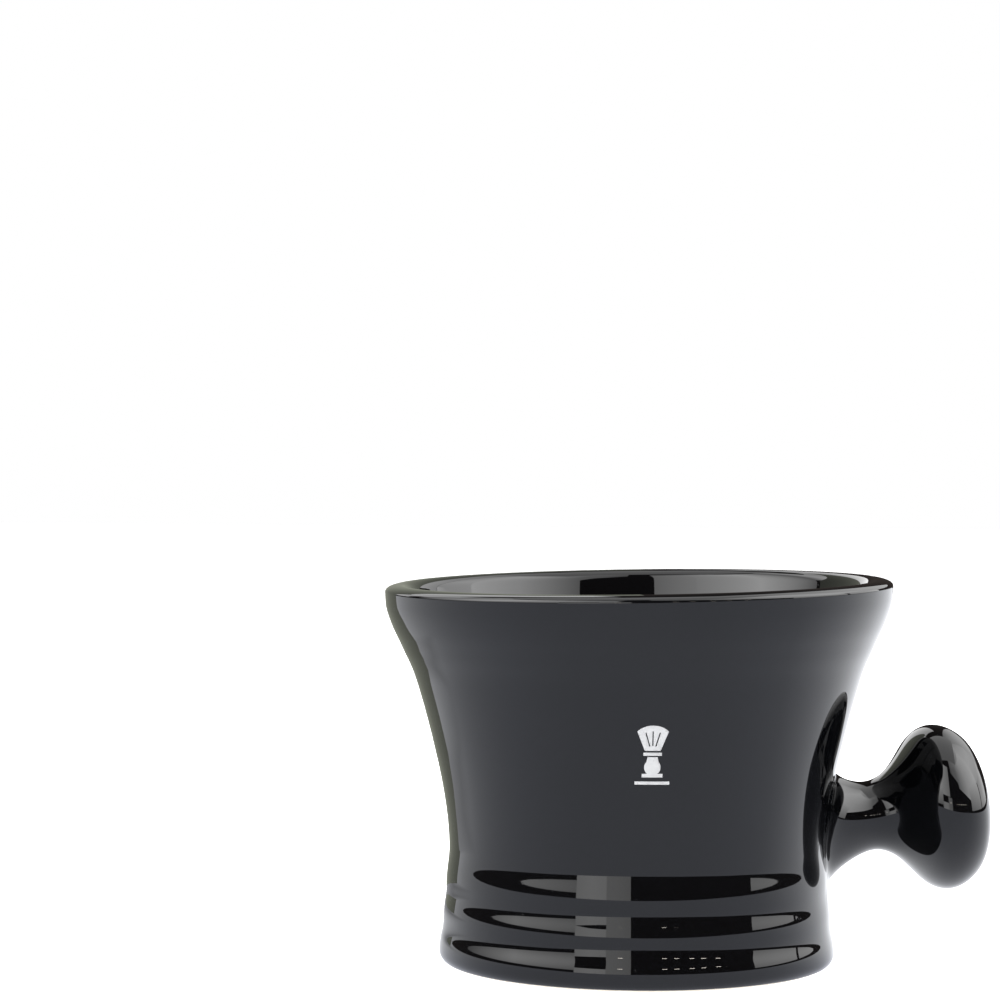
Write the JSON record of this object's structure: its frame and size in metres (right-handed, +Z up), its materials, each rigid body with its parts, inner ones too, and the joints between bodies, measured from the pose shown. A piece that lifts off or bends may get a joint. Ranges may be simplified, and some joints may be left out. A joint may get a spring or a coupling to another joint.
{
  "type": "shaving bowl",
  "caption": "Heavy glazed porcelain shaving bowl with a flared wall, a rolled lip, soft shoulders above a bare foot ring and a mushroom knob as its handle.",
  "frame": {"origin": "on the bowl's axis, in the plane of the foot ring that rests on the table", "axes": "+Z up along the bowl's axis, +X towards the knob handle, -Y the side with the print"},
  "size_m": [0.1453, 0.1202, 0.0905],
  "materials": {
    "porcelain": "fired and unglazed, ground smooth where it touches the table",
    "slip": "fired and unglazed",
    "black_glaze": "deep black gloss glaze",
    "print": "fired-on pale grey print"
  },
  "bodies": {
    "root": {"bowl_body": "porcelain", "knob_handle": "porcelain", "handle_slip_joint": "slip", "glaze_coat": "black_glaze", "underside_glaze": "black_glaze", "emblem_print": "print"}
  },
  "joints": []
}
